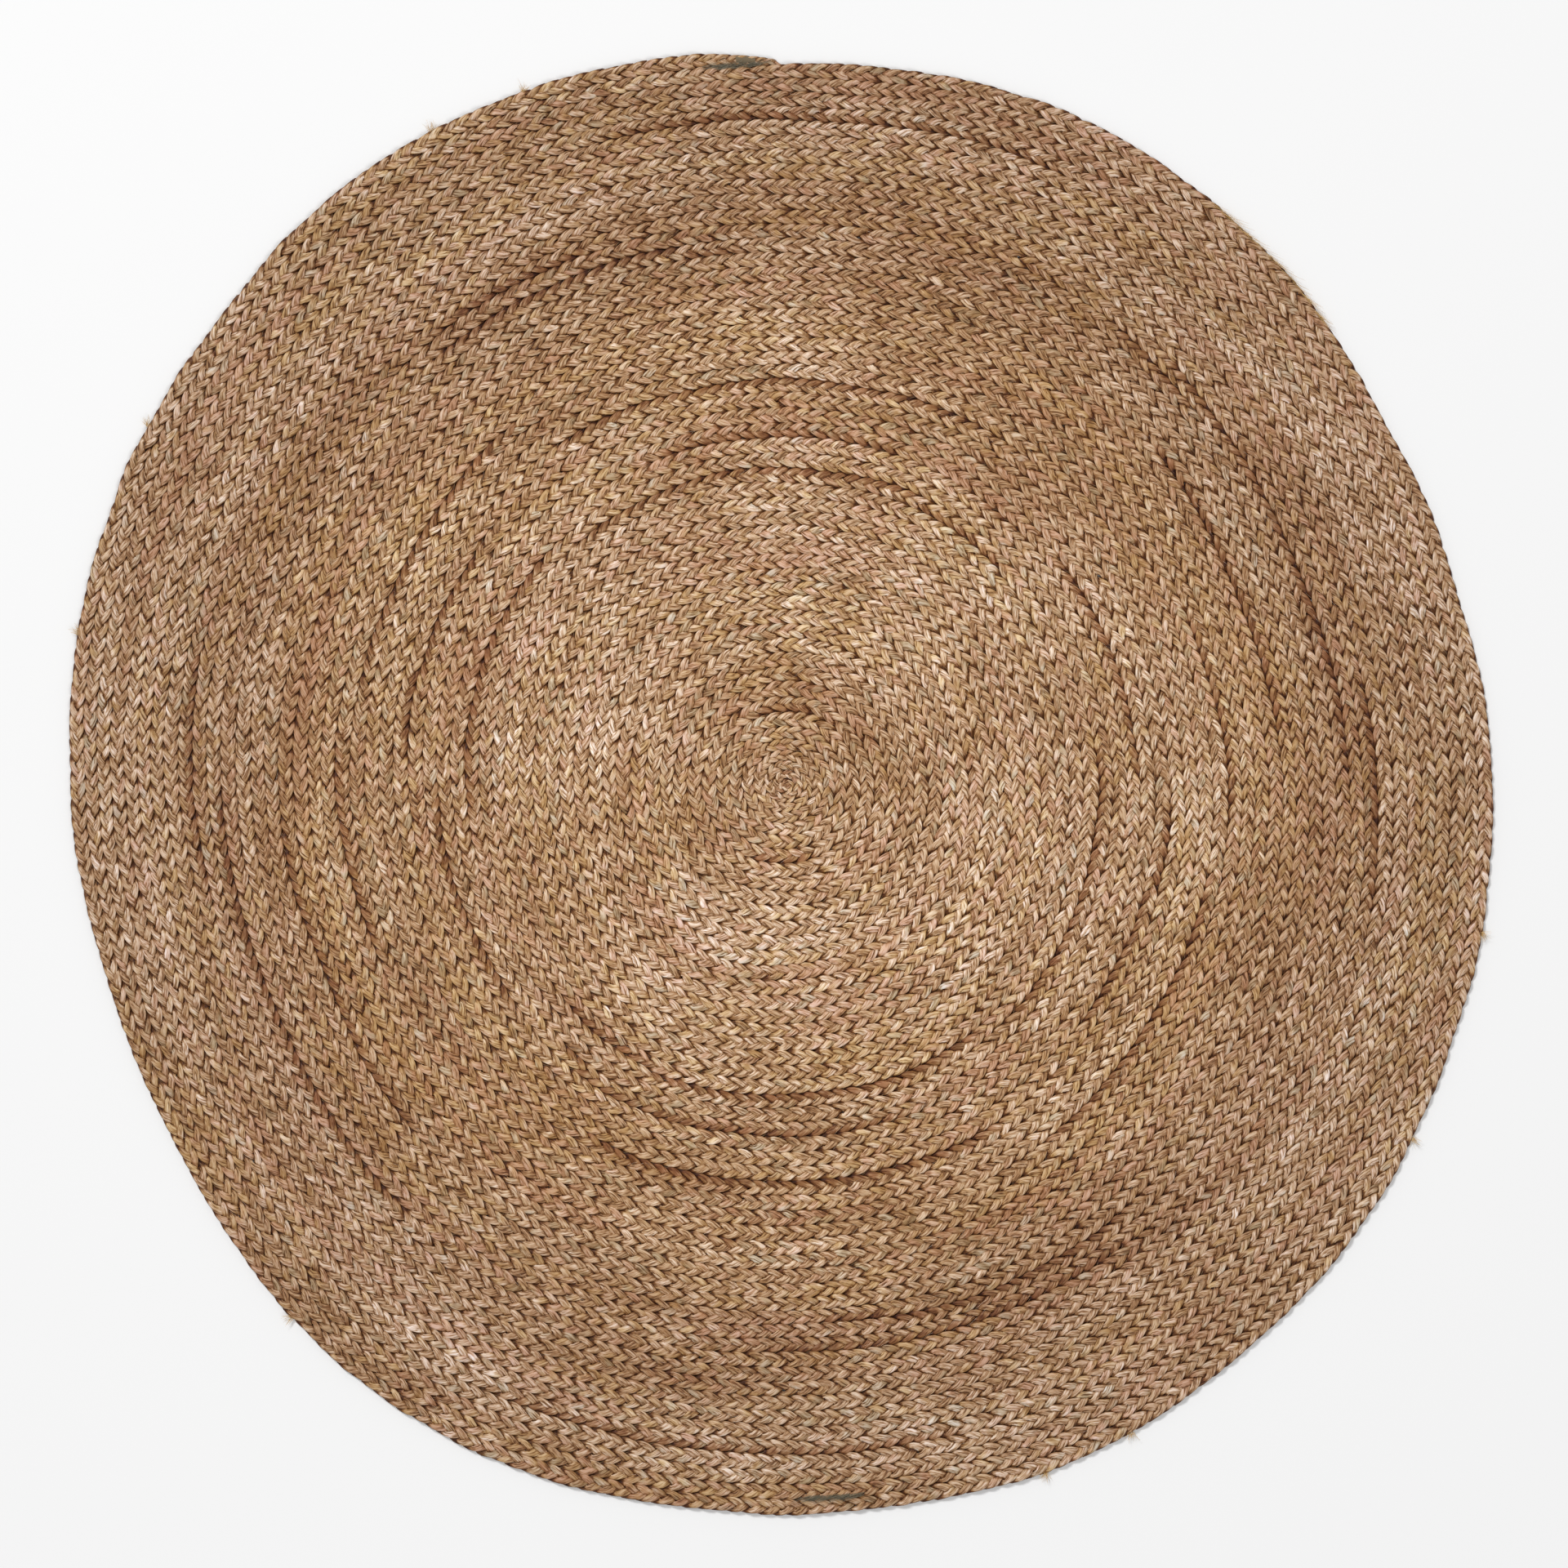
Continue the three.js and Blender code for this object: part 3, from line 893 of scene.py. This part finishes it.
class RUG_OT_braid_lengths(bpy.types.Operator):
    """Plaits the three strands of every braid length"""

    bl_idname = "rug.braid_lengths"
    bl_label = "Braid lengths"

    def execute(self, context):
        rings = plait_rings()
        for number, letter in enumerate(STRANDS):
            stops = braid_stops(rings, number)
            for index, (first, last) in enumerate(zip(stops, stops[1:]), start=1):
                name = f"plait_{index:02d}_strand_{letter}"
                piece = plait_strand(name, f"braid_length_{index:02d}", rings, number, first, last)
        return {"FINISHED"}


class RUG_OT_tail(bpy.types.Operator):
    """Plaits the tail, which narrows to its tip against the row inside it"""

    bl_idname = "rug.tail"
    bl_label = "Tail"

    def execute(self, context):
        rings = plait_rings()
        for number, letter in enumerate(STRANDS):
            first = braid_stops(rings, number)[-1]
            last = len(rings[0]) - 1 - number * 2
            plait_strand(f"tail_strand_{letter}", "braid_tail", rings, number, first, last)
        return {"FINISHED"}


class RUG_OT_whipping(bpy.types.Operator):
    """Winds the whipping round the tail"""

    bl_idname = "rug.whipping"
    bl_label = "Whipping"

    def execute(self, context):
        s, c = context.scene.rug_sizes, context.scene.rug_colours
        turn, run, _ = plait_rings()
        stop = run[-1] - WHIPPING_SETBACK
        steps = 16  # in one turn of the thread
        count = round(WHIPPING_LENGTH / s.thread)
        round_it = np.arange(count * steps + 1) * 2 * math.pi / steps
        along = np.linspace(stop - WHIPPING_LENGTH, stop, len(round_it))
        at = np.interp(along, run, turn)
        points = line_at(at, 0.47 * np.cos(round_it), 0.5 + 0.56 * np.sin(round_it))
        tree = bpy.data.node_groups.get("Round thread") or round_thread()
        material = spun_thread("Waxed cotton whipping", c.whipping)
        values = {"Diameter": s.thread * 1.05, "Sides": 6, "Material": material}
        piece = made_by(tree, path_object("whipping_turns", points), **values)
        finish_piece(piece, "whipping_thread", "tail_whipping")
        return {"FINISHED"}


class RUG_OT_sewing(bpy.types.Operator):
    """Sews every row to the one inside it, from edge to edge through the seam"""

    bl_idname = "rug.sewing"
    bl_label = "Sewing thread"

    def execute(self, context):
        s, c = context.scene.rug_sizes, context.scene.rug_colours
        tree = bpy.data.node_groups.get("Round thread") or round_thread()
        material = spun_thread("Spun jute thread", c.thread)
        ends = length_ends()
        ends[-1] = last_turn() - LAST_STITCH / STEPS_PER_TURN
        for index, (first, last) in enumerate(zip(ends, ends[1:]), start=1):
            turn = np.linspace(first, last, 4000)
            run = run_along(places(turn, -0.5))
            quarter = np.arange(4, int(run[-1] / s.stitch * 4) - 3)
            turn = np.interp(quarter * s.stitch / 4, run, turn)
            swing = np.sin(quarter * math.pi / 2)
            climb = np.cos(quarter * math.pi / 2)
            points = line_at(turn, -0.5 + 0.15 * swing, 0.44 + 0.24 * climb)
            path = path_object(f"lacing_{index:02d}", points)
            piece = made_by(tree, path, Diameter=s.thread, Sides=4, Material=material)
            finish_piece(piece, "sewing_thread", f"seam_thread_{index:02d}")
        return {"FINISHED"}


class RUG_OT_loose_fibres(bpy.types.Operator):
    """Scatters the fibres that stand out of the strands"""

    bl_idname = "rug.loose_fibres"
    bl_label = "Loose fibres"

    def execute(self, context):
        s, c = context.scene.rug_sizes, context.scene.rug_colours
        material = fibre_ends("Pale jute fibre", c.pale)
        ends = length_ends()
        for index, (first, last) in enumerate(zip(ends, ends[1:]), start=1):
            points = line_at(np.linspace(first, last, 1500), 0.0, 0.93)
            scattered(f"loose_fibres_{index:02d}", points, material, Count=420, Length=s.fibre, Seed=index)
        return {"FINISHED"}


class RUG_OT_strand_ends(bpy.types.Operator):
    """Breaks single strands at the rug's edge, where a tuft of their fibres stands out"""

    bl_idname = "rug.strand_ends"
    bl_label = "Broken strand ends"

    def execute(self, context):
        material = fibre_ends("Golden jute fibre", context.scene.rug_colours.golden)
        values = {"Count": 24, "Length": 0.014, "Diameter": 0.0005, "Spread": 0.9, "Scatter": 0.003}
        for index, degrees in enumerate(STRAND_ENDS, start=1):
            turn = edge_turn(degrees) + np.array([0, 0.00035, 0.0007])
            points = line_at(turn, np.array([0.42, 0.5, 0.62]), np.array([0.5, 0.55, 0.5]))
            scattered(f"strand_end_{index:02d}", points, material, Seed=50 + index, **values)
        return {"FINISHED"}


class RUG_OT_wisps(bpy.types.Operator):
    """Lays the long wisps that have come loose: a golden one, and grey ones in the outermost seam"""

    bl_idname = "rug.wisps"
    bl_label = "Wisps"

    def execute(self, context):
        s, c = context.scene.rug_sizes, context.scene.rug_colours
        golden = fibre_ends("Golden jute wisp", c.golden)
        grey = fibre_ends("Grey jute wisp", c.stain)
        values = {
            "Count": 90,
            "Length": 0.03,
            "Diameter": 0.0005,
            "Rise": 0.03,
            "Spread": 0.07,
            "Scatter": 0.0026,
        }
        # Degrees round from +X, length, and how far across the outermost row it lies.
        wisps = ((47.3, 0.20, 0.48, golden), (94.4, 0.072, -0.62, grey), (274.4, 0.072, -0.62, grey))
        for index, (degrees, length, across, material) in enumerate(wisps, start=1):
            half = length / s.diameter / math.pi / 2
            points = line_at(edge_turn(degrees) + np.linspace(-half, half, 12), across, 0.9)
            scattered(f"wisp_{index}", points, material, Seed=80 + index, **values)
        return {"FINISHED"}


class RUG_OT_stage(bpy.types.Operator):
    """Lays the floor, hangs the lights and sets the camera above the rug"""

    bl_idname = "rug.stage"
    bl_label = "Floor, lights and camera"

    def execute(self, context):
        scene = context.scene
        mesh = bpy.data.meshes.new("floor")
        reach = 30.0  # either way from the middle
        corners = [(-reach, -reach, 0), (reach, -reach, 0), (reach, reach, 0), (-reach, reach, 0)]
        mesh.from_pydata(corners, [], [(0, 1, 2, 3)])
        mesh.materials.append(matt_floor(scene.rug_colours.floor))
        floor = bpy.data.objects.new("floor", mesh)
        scene.collection.objects.link(floor)

        world = bpy.data.worlds.new("Studio")
        scene.world = world
        world.use_nodes = True
        sky = world.node_tree.nodes["Background"].inputs
        sky["Color"].default_value = (1, 1, 1, 1)
        sky["Strength"].default_value = 0.4
        lights = (("Key", (-5.2, 8.2, 11.5), 3.0, 1270), ("Fill", (5.0, -7.0, 13.0), 6.0, 600))
        for name, place, size, power in lights:
            lamp = bpy.data.lights.new(name, "AREA")
            lamp.size = size
            lamp.energy = power
            light = bpy.data.objects.new(name, lamp)
            light.location = place
            light.rotation_euler = (-light.location).to_track_quat("-Z", "Y").to_euler()
            scene.collection.objects.link(light)

        camera = bpy.data.objects.new("Camera", bpy.data.cameras.new("Camera"))
        distance = 6.0
        seen = 1.954  # metres of floor from side to side of the picture
        camera.location = (0, 0, distance)
        camera.data.sensor_width = 36
        camera.data.lens = 36 * distance / seen
        camera.data.clip_end = 50
        scene.collection.objects.link(camera)
        scene.camera = camera
        scene.view_settings.view_transform = "Standard"
        return {"FINISHED"}


OPERATORS = (
    RUG_OT_stage,
    RUG_OT_tucked_start,
    RUG_OT_braid_lengths,
    RUG_OT_tail,
    RUG_OT_whipping,
    RUG_OT_sewing,
    RUG_OT_loose_fibres,
    RUG_OT_strand_ends,
    RUG_OT_wisps,
)


class RUG_PT_panel(bpy.types.Panel):
    bl_idname = "RUG_PT_panel"
    bl_label = "Braided rug"
    bl_space_type = "VIEW_3D"
    bl_region_type = "UI"
    bl_category = "Rug"

    def draw(self, context):
        for operator in OPERATORS:
            self.layout.operator(operator.bl_idname)


CLASSES = (RugSizes, RugColours, *OPERATORS, RUG_PT_panel)


def register():
    for cls in CLASSES:
        bpy.utils.register_class(cls)
    bpy.types.Scene.rug_sizes = bpy.props.PointerProperty(type=RugSizes)
    bpy.types.Scene.rug_colours = bpy.props.PointerProperty(type=RugColours)


def unregister():
    del bpy.types.Scene.rug_sizes
    del bpy.types.Scene.rug_colours
    for cls in reversed(CLASSES):
        bpy.utils.unregister_class(cls)


def main():
    register()
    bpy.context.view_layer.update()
    bpy.ops.rug.stage()
    bpy.ops.rug.tucked_start()
    bpy.ops.rug.braid_lengths()
    bpy.ops.rug.tail()
    bpy.ops.rug.whipping()
    bpy.ops.rug.sewing()
    bpy.ops.rug.loose_fibres()
    bpy.ops.rug.strand_ends()
    bpy.ops.rug.wisps()


if __name__ == "__main__":
    main()
